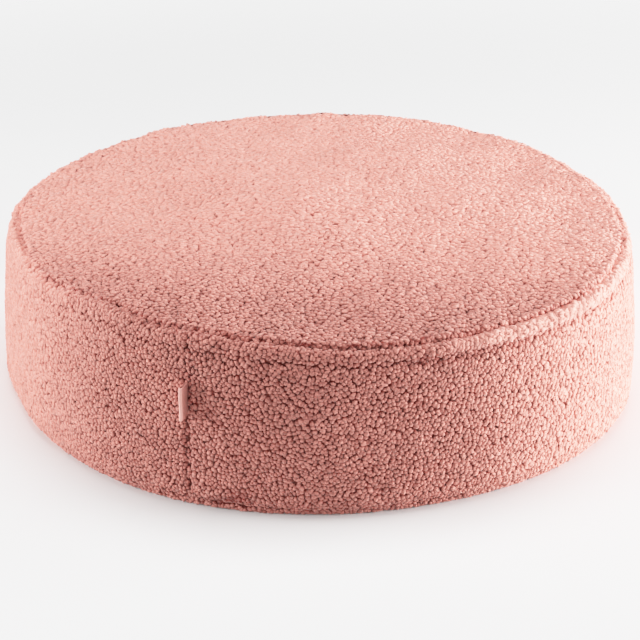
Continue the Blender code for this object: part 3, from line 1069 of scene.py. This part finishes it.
    def _places(self, draw: np.random.Generator) -> CurlPlaces:
        """Scatter the curls, and fit each to its neighbours and to the seams."""
        azimuth, run = self._candidates(draw)
        reach = self.form.reach(run)
        clear = np.ones(len(run), bool)
        for crease in self.creases:
            distance, _, _ = crease.nearest(azimuth, run, reach)
            clear &= distance > crease.gap * draw.uniform(*self.gap_spread, len(run))
        azimuth, run = azimuth[clear], run[clear]
        points = self.form.point(azimuth, run)
        spacing = self.spacing * draw.uniform(*self.spacing_spread, len(run))
        spacing *= np.interp(self._wear(points), (0.0, 1.0), self.size_range)
        chosen = self._thinned(points, spacing)
        azimuth, run, clump, clump_sink = self._clumped(azimuth[chosen], run[chosen], draw)
        surface = self.form.surface(azimuth, run)
        reach = self.form.reach(run)
        lean_round = draw.normal(0.0, self.own_lean, len(run))
        lean_down = draw.normal(0.0, self.own_lean, len(run)) + self.droop
        top, fold = self.form.run_of("top seam"), self.form.run_of("ridge crease")
        roll = bell(run - (top + fold) / 2, (fold - top) * self.ridge_reach)
        beside = bell(turn_between(azimuth, self.ridge_azimuth), self.ridge_spread)
        smoothness = np.clip(self.ridge_breadth * roll * beside, 0.0, 1.0)
        worn = self._wear(surface.point)
        wear = np.maximum(worn, smoothness)
        sink = np.abs(draw.normal(0.0, self.tip_scatter, len(run))) + clump_sink
        sink *= 1 - self.worn_evenness * wear
        lift = np.zeros(len(run))
        for crease in self.creases:
            distance, to_round, to_down = crease.nearest(azimuth, run, reach)
            near = np.exp(-((distance / crease.tuck) ** 2))
            lean_round += crease.lean * near * to_round
            lean_down += crease.lean * near * to_down
            sink += crease.draw * near
            lift = np.maximum(lift, crease.lift(azimuth, run, reach, self.form.channel_half_width))
        flatness = np.maximum(self.ridge_flatness * smoothness, self.worn_flatness * worn)
        room = self._room(surface, clump)
        room *= (1 + self.ridge_overlap * smoothness + self.worn_overlap * worn)[:, None]
        return CurlPlaces(azimuth, surface, room, flatness, lift, sink, lean_round, lean_down,
                          smoothness, wear)

    def _draft(self, places: CurlPlaces, chosen: Array, draw: np.random.Generator) -> MeshDraft:
        """The joined mesh of the chosen curls.

        Args:
            places: Where the curls of the panel stand.
            chosen: Indexes of those in this piece.
            draw: Source of the random draws.

        Returns:
            The mesh in the making.
        """
        count, sides = len(chosen), self.sides
        smooth = places.smoothness[chosen]
        room = places.room[chosen]
        half = room.mean(axis=1)
        height = self.pile_depth - places.sink[chosen]
        angle = math.pi * (2 * np.arange(sides)[None, :] + np.arange(2)[:, None]) / sides
        ring = np.stack([room[:, 0::2], room[:, 1::2]], axis=1)
        ring = ring * np.array(self.ring_reach)[:, None]
        ring = ring * (1 + draw.uniform(-self.uneven, self.uneven, (count, 2, sides)))
        crest = draw.uniform(-self.crest_offset, self.crest_offset, (count, 2, 1))
        crest = crest * half[:, None, None]
        along = np.concatenate([(ring * np.cos(angle)).reshape(count, -1), crest[:, 0]], axis=1)
        across = np.concatenate([(ring * np.sin(angle)).reshape(count, -1), crest[:, 1]], axis=1)
        rise = np.array(self.ring_rise)[None, :] * (1 + places.flatness[chosen][:, None])
        rise = (rise * height[:, None])[..., None]
        rise = rise * (1 + draw.uniform(-self.rise_uneven, self.rise_uneven, (count, 2, sides)))
        rise = np.concatenate([rise.reshape(count, -1), height[:, None]], axis=1)
        climb = rise / self.pile_depth
        round_shift = along + (places.lean_round[chosen] * half)[:, None] * climb
        down_shift = across + (places.lean_down[chosen] * half)[:, None] * climb
        face = places.surface
        points = (face.point[chosen][:, None, :]
                  + face.around[chosen][:, None, :] * round_shift[..., None]
                  + face.down[chosen][:, None, :] * down_shift[..., None]
                  + face.outward[chosen][:, None, :]
                  * (rise - self.pile_depth + places.lift[chosen][:, None])[..., None])
        points[..., 2] = np.maximum(points[..., 2], self.floor_clearance)
        lock = np.stack([along, across, np.zeros_like(along)], axis=-1) * MM
        lock += draw.uniform(0, self.locks_apart, (count, 1, 3))
        return self._joined(points, lock, climb, draw.random(count), smooth, places.wear[chosen])

    def _joined(self, points: Array, lock: Array, climb: Array, tint: Array, smooth: Array,
                wear: Array) -> MeshDraft:
        """Faces, values and bake map of the curls."""
        count, each = points.shape[:2]
        sides = self.sides
        first = np.arange(sides)
        after = (first + 1) % sides
        walls = np.stack([first, after, sides + after, sides + first], axis=1)
        caps = np.stack([sides + first, sides + after, np.full(sides, 2 * sides)], axis=1)
        start = (np.arange(count) * each)[:, None, None]
        cells = math.ceil(math.sqrt(count))
        corner = np.stack([np.arange(count) % cells, np.arange(count) // cells], axis=1) + 0.5
        turn = 2 * math.pi * (np.arange(sides)[None, :] + 0.5 * np.arange(2)[:, None]) / sides
        disc = np.stack([np.cos(turn), np.sin(turn)], axis=-1)
        disc = disc * np.array(self.bake_rings)[:, None, None]
        disc = np.concatenate([disc.reshape(-1, 2), [[0.0, 0.0]]])
        spots = (corner[:, None, :] + disc[None, :, :]) / cells
        draft = MeshDraft(points.reshape(-1, 3))
        draft.faces = [(walls[None] + start).reshape(-1, 4), (caps[None] + start).reshape(-1, 3)]
        flat = spots.reshape(-1, 2)
        draft.bake_map = [flat[faces] for faces in draft.faces]
        # Worn curls get less of the painted root shade: their depth is lifted towards the tip.
        depth = climb + np.maximum(1 - climb, 0.0) * (self.worn_shade_lift * wear)[:, None]
        draft.values = {"depth": depth.ravel(), "tint": np.repeat(tint, each),
                        "combed": np.repeat(smooth, each), "wear": np.repeat(wear, each),
                        "lock": lock.reshape(-1, 3)}
        return draft

    def build(self, material: bpy.types.Material,
              sectors: Iterable[Sequence[Sector]]) -> list[bpy.types.Object]:
        """Make the pile's pieces.

        Args:
            material: Their finish.
            sectors: The sectors of each piece.

        Returns:
            The pieces.
        """
        draw = np.random.default_rng(self.seed)
        places = self._places(draw)
        LOG.info("%s: %d curls", self.name, len(places.azimuth))
        made = []
        for group in sectors:
            held = np.any([sector.holds(places.azimuth) for sector in group], axis=0)
            draft = self._draft(places, np.flatnonzero(held), draw)
            piece = draft.to_object(f"{self.name}_{group[0].name.lower()}", smooth=False)
            made.append(dress(piece, material))
        return made


class FineZone(NamedTuple):
    """A stretch stepped through more finely: its middle, half its width and the step there."""

    middle: float
    half_width: float
    step: float


def graded_steps(low: float, high: float, step: float, zones: Sequence[FineZone]) -> Array:
    """Steps from low to high, finer in the zones.

    Args:
        low: The first step's place.
        high: The last step's place.
        step: The step outside the zones.
        zones: The zones with finer steps.

    Returns:
        The places, in order.
    """
    places = [low]
    while places[-1] < high:
        room = [max(z.step, abs(places[-1] - z.middle) - z.half_width) for z in zones]
        places.append(places[-1] + min([step, *room]))
    return np.array([*places[:-1], high])


def turned_grid(form: PoufForm, azimuths: Array, runs: Array, inset: float,
                floor_clearance: float) -> MeshDraft:
    """A grid of quads over the form, a little inside it.

    Args:
        form: The pouf's form.
        azimuths: Azimuths of the columns, once round.
        runs: Runs of the rings.
        inset: How far inside the form it lies.
        floor_clearance: The least height of a point.

    Returns:
        The mesh in the making, open at its first and last rings.
    """
    azimuth, run = np.meshgrid(azimuths, runs)
    face = form.surface(azimuth, run)
    points = face.point - face.outward * inset
    points[..., 2] = np.maximum(points[..., 2], floor_clearance)
    columns, rings = len(azimuths), len(runs)
    quads = grid_quads(rings, columns)
    ring, column = quads[:, 0] // columns, quads[:, 0] % columns
    left, right = column / columns, (column + 1) / columns
    high, low = 1 - ring / (rings - 1), 1 - (ring + 1) / (rings - 1)
    corners = np.stack([np.stack([left, high], 1), np.stack([left, low], 1),
                        np.stack([right, low], 1), np.stack([right, high], 1)], axis=1)
    return MeshDraft(points.reshape(-1, 3), [quads], {}, [corners])


@dataclass
class CushionCover:
    """The filled cover itself: the knitted backing of the fleece, closed under the base."""

    form: PoufForm
    inset: float = 0.0040
    step: float = 0.010
    channel_step: float = 0.0015
    channel_reach: float = 0.009
    first_run: float = 0.0012
    second_run: float = 0.012
    bake_fan: float = 0.001
    fill: float = 0.85
    floor_clearance: float = 0.0008

    def _azimuths(self) -> Array:
        """Azimuths of the columns, close together in the join seam's channel."""
        radius = self.form.band_radius
        join = FineZone(self.form.join_azimuth, self.channel_reach / radius,
                        self.channel_step / radius)
        return graded_steps(-math.pi, math.pi, self.step / radius, [join])[:-1]

    def _runs(self) -> Array:
        """Runs of the rings, close together in the top and base seams' channels."""
        zones = [FineZone(self.form.run_of(knot), self.channel_reach, self.channel_step)
                 for knot in ("top seam", "ridge crease", "base seam")]
        outer = graded_steps(self.second_run, self.form.length, self.step, zones)
        return np.concatenate([[self.first_run], outer])

    def build(self, material: bpy.types.Material) -> bpy.types.Object:
        """Make the cover, which stands for the CAD cushion."""
        azimuths, runs = self._azimuths(), self._runs()
        columns = len(azimuths)
        draft = turned_grid(self.form, azimuths, runs, self.inset, self.floor_clearance)
        top = draft.points[:columns].mean(axis=0)
        rim = draft.points[-columns:]
        under = np.array([*rim.mean(axis=0)[:2], self.floor_clearance])
        last = (len(runs) - 1) * columns
        draft.points = np.concatenate([draft.points, [top, under]])
        index = np.arange(columns)
        after = (index + 1) % columns
        crown, foot = len(draft.points) - 2, len(draft.points) - 1
        draft.faces.append(np.stack([after, np.full(columns, crown), index], axis=1))
        draft.faces.append(np.stack([last + index, np.full(columns, foot), last + after], axis=1))
        angle = 2 * math.pi * index / columns
        fan = np.zeros((columns, 3, 2))
        fan[:, 0] = fan[:, 2] = np.stack([np.cos(angle), np.sin(angle)], 1) * self.bake_fan + 0.5
        draft.bake_map += [fan, fan]
        piece = draft.to_object("cushion_cover")
        dress(piece, material, CUSHION_NODE)
        return piece


@dataclass
class BasePanel:
    """The round base cloth that the pouf rests on, finished plainly."""

    form: PoufForm
    rings: int = 14
    columns: int = 160
    height: float = 0.0004
    rim_inset: float = 0.006
    rim_rise: float = 0.0010
    least_share: float = 0.02
    bake_span: float = 2.1

    def build(self, material: bpy.types.Material) -> bpy.types.Object:
        """Make the base panel."""
        azimuths = np.linspace(-math.pi, math.pi, self.columns, endpoint=False)
        rim = self.form.point(azimuths, np.full(self.columns, self.form.length))
        middle = rim.mean(axis=0)
        shares = np.linspace(1.0, self.least_share, self.rings)
        out = unit(rim - middle)
        edge = rim - out * self.rim_inset
        points = middle + shares[:, None, None] * (edge - middle)[None]
        points[..., 2] = self.height
        points[0, :, 2] += self.rim_rise
        points = np.concatenate([points.reshape(-1, 3), [[middle[0], middle[1], self.height]]])
        quads = grid_quads(self.rings, self.columns)
        index = np.arange(self.columns)
        inner = (self.rings - 1) * self.columns
        caps = np.stack([inner + index, np.full(self.columns, len(points) - 1),
                         inner + (index + 1) % self.columns], axis=1)
        spots = (points[:, :2] - middle[:2]) / (self.bake_span * self.form.band_radius) + 0.5
        draft = MeshDraft(points, [quads, caps], {}, [spots[quads], spots[caps]])
        return dress(draft.to_object("base_panel"), material)


@dataclass
class SeamStitches:
    """Lock stitches of doubled thread at the bottom of the sewn channels."""

    form: PoufForm
    pitch: float = 0.0042
    length: float = 0.0034
    radius: float = 0.00045
    sink: float = 0.0034
    arch: float = 0.9
    end_share: float = 0.35
    join_ends: tuple[float, float] = (0.008, 0.004)
    floor_clearance: float = 0.001
    steps: int = 4
    sides: int = 4

    def _lines(self) -> tuple[Array, Array, Array]:
        """Azimuth, run and heading of each stitch: 0 goes round and 1 goes down."""
        top, base = self.form.run_of("top seam"), self.form.run_of("base seam")
        around = int(2 * math.pi * float(self.form.reach(top)) / self.pitch)
        rings = np.linspace(-math.pi, math.pi, around, endpoint=False)
        down = np.arange(top + self.join_ends[0], base - self.join_ends[1], self.pitch)
        azimuth = np.concatenate([rings, rings, np.full(len(down), self.form.join_azimuth)])
        run = np.concatenate([np.full(around, top), np.full(around, base), down])
        heading = np.concatenate([np.zeros(2 * around), np.ones(len(down))])
        return azimuth, run, heading

    def build(self, material: bpy.types.Material) -> bpy.types.Object:
        """Make all the stitches as one joined mesh."""
        azimuth, run, heading = self._lines()
        face = self.form.surface(azimuth, run)
        along = np.where(heading[:, None] > 0.5, face.down, face.around)
        side = np.where(heading[:, None] > 0.5, face.around, face.down)
        step = np.linspace(-1, 1, self.steps)
        arch = 1 - step**2
        spine = (face.point[:, None] - face.outward[:, None] * self.sink
                 + along[:, None] * (step * self.length / 2)[None, :, None]
                 + face.outward[:, None] * (arch * self.radius * self.arch)[None, :, None])
        angle = 2 * math.pi * np.arange(self.sides) / self.sides
        girth = self.radius * (self.end_share + (1 - self.end_share) * np.sqrt(arch))
        sideways, upwards = girth[:, None] * np.cos(angle), girth[:, None] * np.sin(angle)
        offset = (side[:, None, None] * sideways[None, :, :, None]
                  + face.outward[:, None, None] * upwards[None, :, :, None])
        points = spine[:, :, None] + offset
        points[..., 2] = np.maximum(points[..., 2], self.floor_clearance)
        each = self.steps * self.sides
        walls = grid_quads(self.steps, self.sides)
        ends = np.stack([np.arange(self.sides), each - 1 - np.arange(self.sides)])
        start = (np.arange(len(azimuth)) * each)[:, None, None]
        lock = np.zeros((len(azimuth), self.steps, self.sides, 3))
        lock[..., 0] = (step * self.length / 2 * MM)[None, :, None]
        lock[..., 1] = (angle * self.radius * MM)[None, None, :]
        lock[..., 2] = np.arange(len(azimuth))[:, None, None]
        draft = MeshDraft(points.reshape(-1, 3), [(walls[None] + start).reshape(-1, 4),
                                                  (ends[None] + start).reshape(-1, self.sides)],
                          {"lock": lock.reshape(-1, 3)})
        return dress(draft.to_object("seam_stitches"), material)


@dataclass
class SideLabel:
    """The folded loop of bare ribbon that is caught in the join seam."""

    form: PoufForm
    height: float = 0.0380
    bottom: float = 0.1131
    stands_out: float = 0.0130
    nose_radius: float = 0.00155
    root_half_gap: float = 0.00075
    thickness: float = 0.0009
    root_clearance: float = 0.0013
    lean: float = math.radians(-1.5)
    rows: int = 38
    leg_points: int = 16
    nose_points: int = 15
    selvedge: float = 0.0016
    body_share: float = 0.72
    flutter: float = 0.00035
    flutter_turn: float = 5.1
    flutter_phase: float = 0.8

    def _plan(self) -> tuple[Array, Array, Array]:
        """Plan of the loop: outward, sideways, and how far along the ribbon."""
        straight = self.stands_out + self.form.join_seam_depth - self.nose_radius
        leg = np.linspace(0.0, 1.0, self.leg_points, endpoint=False)
        widening = (self.nose_radius - self.root_half_gap) * (1 - bell(leg, 1.0))
        opening = self.root_half_gap + widening
        bow = np.linspace(-math.pi / 2, math.pi / 2, self.nose_points)
        outward = np.concatenate([leg * straight, straight + self.nose_radius * np.cos(bow),
                                  leg[::-1] * straight])
        sideways = np.concatenate([-opening, self.nose_radius * np.sin(bow), opening[::-1]])
        path = np.stack([outward, sideways], axis=1)
        return outward, sideways, run_lengths(path)

    def build(self, material: bpy.types.Material) -> bpy.types.Object:
        """Make the label, which stands for its CAD node."""
        outward, sideways, length = self._plan()
        share = np.linspace(0.0, 1.0, self.rows)
        height = self.bottom + share * self.height
        azimuth = np.full(self.rows, self.form.join_azimuth)
        channel = self.form.point(azimuth, self.form.run_at_rise(height)) - self.form.shift
        root = np.hypot(channel[:, 0], channel[:, 1]) + self.root_clearance
        wave = self.flutter * np.sin(self.flutter_turn * share + self.flutter_phase)
        wave = wave * (outward[:, None] / self.stands_out) ** 2
        side = sideways[:, None] + outward[:, None] * math.tan(self.lean) + wave
        reach = root[None, :] + outward[:, None] * np.ones_like(share)[None, :]
        sine, cosine = math.sin(self.form.join_azimuth), math.cos(self.form.join_azimuth)
        radial = np.array([sine, -cosine, 0.0])
        across = np.array([cosine, sine, 0.0])
        points = reach[..., None] * radial + side[..., None] * across
        points[..., 2] = height[None, :]
        points += self.form.shift
        across_count, rows = len(outward), self.rows
        quads = grid_quads(across_count, rows, closed=False)
        ribbon = np.zeros((across_count, rows, 3))
        ribbon[..., 0] = length[:, None]
        ribbon[..., 1] = (share * self.height)[None, :]
        ribbon[..., 2] = np.abs(length - length[-1] / 2)[:, None]
        draft = MeshDraft(points.reshape(-1, 3), [quads], {"ribbon": ribbon.reshape(-1, 3)})
        piece = draft.to_object("side_label_ribbon")
        edge = np.minimum(share, 1 - share) * self.height
        group = piece.vertex_groups.new(name="selvedge")
        for level in range(rows):
            weight = 1.0 if edge[level] < self.selvedge else self.body_share
            group.add([int(i) for i in np.arange(across_count) * rows + level], weight, "REPLACE")
        body = piece.modifiers.new("Ribbon", "SOLIDIFY")
        body.thickness = self.thickness
        body.offset = 0.0
        body.use_even_offset = True
        body.vertex_group = "selvedge"
        return dress(piece, material, LABEL_NODE)


class Softbox(NamedTuple):
    """A soft white studio light: where it stands, its size and its strength."""

    name: str
    place: tuple[float, float, float]
    width: float
    height: float
    watts: float


@dataclass
class Studio:
    """Pale floor and backdrop, soft lights, and the camera at the photograph's viewing angle."""

    form: PoufForm
    distance: float = 2.2
    elevation: float = math.radians(25.069)
    roll: float = math.radians(-0.094)
    focal_pixels: float = 1719.92
    frame_pixels: int = 640
    sensor: float = 36.0
    off_right: float = -0.00200892
    off_up: float = 0.0430883
    target_height: float = 0.1
    clip_start: float = 0.05
    floor_size: float = 5.0
    backdrop: float = 2.6
    white_point: float = 6.0
    curve_points: int = 12
    lights: tuple[Softbox, ...] = (
        Softbox("over", (0.0, 0.2, 2.5), 1.8, 1.4, 129.0),
        Softbox("right", (2.3, 0.0, 0.32), 1.8, 0.5, 318.0),
        Softbox("left", (-2.25, -0.4, 0.6), 1.4, 1.0, 108.0),
        Softbox("front", (-1.3, -2.3, 1.3), 1.6, 1.2, 27.0),
    )

    def _camera(self) -> None:
        """Place the camera."""
        sine, cosine = math.sin(self.elevation), math.cos(self.elevation)
        forward = Vector((0.0, cosine, -sine))
        level_up = Vector((0.0, sine, cosine))
        level_right = Vector((1.0, 0.0, 0.0))
        right = level_right * math.cos(self.roll) + level_up * math.sin(self.roll)
        up = level_up * math.cos(self.roll) - level_right * math.sin(self.roll)
        eye = (Vector((0.0, 0.0, self.target_height)) - forward * self.distance
               - level_right * self.off_right - level_up * self.off_up
               + Vector(self.form.shift))
        data = bpy.data.cameras.new("camera")
        data.sensor_width = self.sensor
        data.lens = self.focal_pixels / self.frame_pixels * self.sensor
        data.clip_start = self.clip_start
        camera = bpy.data.objects.new("camera", data)
        turn = Matrix((right, up, -forward)).transposed()
        camera.matrix_world = Matrix.Translation(eye) @ turn.to_4x4()
        bpy.context.scene.collection.objects.link(camera)
        bpy.context.scene.camera = camera

    def _lights(self) -> None:
        """Place the softboxes, aimed at the pouf's middle."""
        target = Vector((0.0, 0.0, self.target_height))
        for box in self.lights:
            data = bpy.data.lights.new(box.name, "AREA")
            data.shape = "RECTANGLE"
            data.size, data.size_y = box.width, box.height
            data.energy = box.watts
            lamp = bpy.data.objects.new(box.name, data)
            lamp.visible_camera = False
            lamp.location = box.place
            lamp.rotation_mode = "QUATERNION"
            lamp.rotation_quaternion = (target - Vector(box.place)).to_track_quat("-Z", "Y")
            bpy.context.scene.collection.objects.link(lamp)

    def _backdrop(self) -> None:
        """Set the pale backdrop, which is only seen: it lights nothing."""
        world = bpy.data.worlds.new("backdrop")
        world.use_nodes = True
        shader = world.node_tree.nodes["Background"]
        shader.inputs["Color"].default_value = rgba((1.0, 1.0, 1.0))
        desk = NodeDesk(world.node_tree)
        seen = desk.add("ShaderNodeLightPath").outputs["Is Camera Ray"]
        desk.feed(shader, Strength=desk.math("MULTIPLY", seen, self.backdrop))
        bpy.context.scene.world = world

    def _floor(self) -> None:
        """Lay the floor."""
        corners = np.array([(-1.0, -1.0, 0.0), (1.0, -1.0, 0.0), (1.0, 1.0, 0.0), (-1.0, 1.0, 0.0)])
        draft = MeshDraft(corners * self.floor_size / 2, [np.array([[0, 1, 2, 3]])])
        floor = draft.to_object("studio_floor", smooth=False)
        floor.data.materials.append(FloorFinish().material())

    def _film(self) -> None:
        """Roll the highlights off softly, as film does: 1 - exp(-light), up to the white point."""
        view = bpy.context.scene.view_settings
        view.view_transform = "Standard"
        view.look = "None"
        view.exposure = 0.0
        view.use_curve_mapping = True
        film = view.curve_mapping
        film.white_level = (self.white_point,) * 3
        curve = film.curves[3]
        for share in np.linspace(0.0, 1.0, self.curve_points)[1:-1] ** 2:
            curve.points.new(float(share), 1 - math.exp(-float(share) * self.white_point))
        curve.points[0].location = (0.0, 0.0)
        curve.points[-1].location = (1.0, 1 - math.exp(-self.white_point))
        film.update()

    def build(self) -> None:
        """Set up the whole studio."""
        self._film()
        self._camera()
        self._lights()
        self._backdrop()
        self._floor()


def main() -> None:
    """Build the pouf's looks piece by piece."""
    logging.basicConfig(level=logging.INFO, format="%(name)s: %(message)s")
    form = PoufForm()
    Studio(form).build()
    effects = Effects()
    fleece = FleeceFinish().material(effects)
    # Painted shade: the backing is coloured dark, like the curls' painted root shade, to show as
    # shade in the clefts between the curls.
    backing = ClothFinish("fleece_backing_painted_shade", (0.22, 0.045, 0.034), (0.10, 0.02, 0.015))
    base_cloth = ClothFinish("base_cloth", (0.62, 0.28, 0.22), (0.30, 0.10, 0.07))
    CushionCover(form).build(backing.material(effects))
    BasePanel(form).build(base_cloth.material(effects))
    SeamStitches(form).build(ThreadFinish().material(effects))
    SideLabel(form).build(RibbonFinish().material(effects))
    creases = pouf_creases(form)
    seam, rim = form.run_of("top seam"), form.length - 0.001
    pairs = [tuple(Sector)[n:n + 2] for n in (0, 2, 4)]
    top = CurlyFleece(form, creases, "top_fleece", (0.0, seam), spacing=0.0044,
                      size_range=(1.0, 1.05), worn_from=-0.38, worn_to=-0.05,
                      worn_flatness=0.26, worn_shade_lift=0.4)
    band = CurlyFleece(form, creases, "band_fleece", (seam, rim), seed=SEED + 1)
    top.build(fleece, pairs)
    band.build(fleece, pairs)


if __name__ == "__main__":
    main()
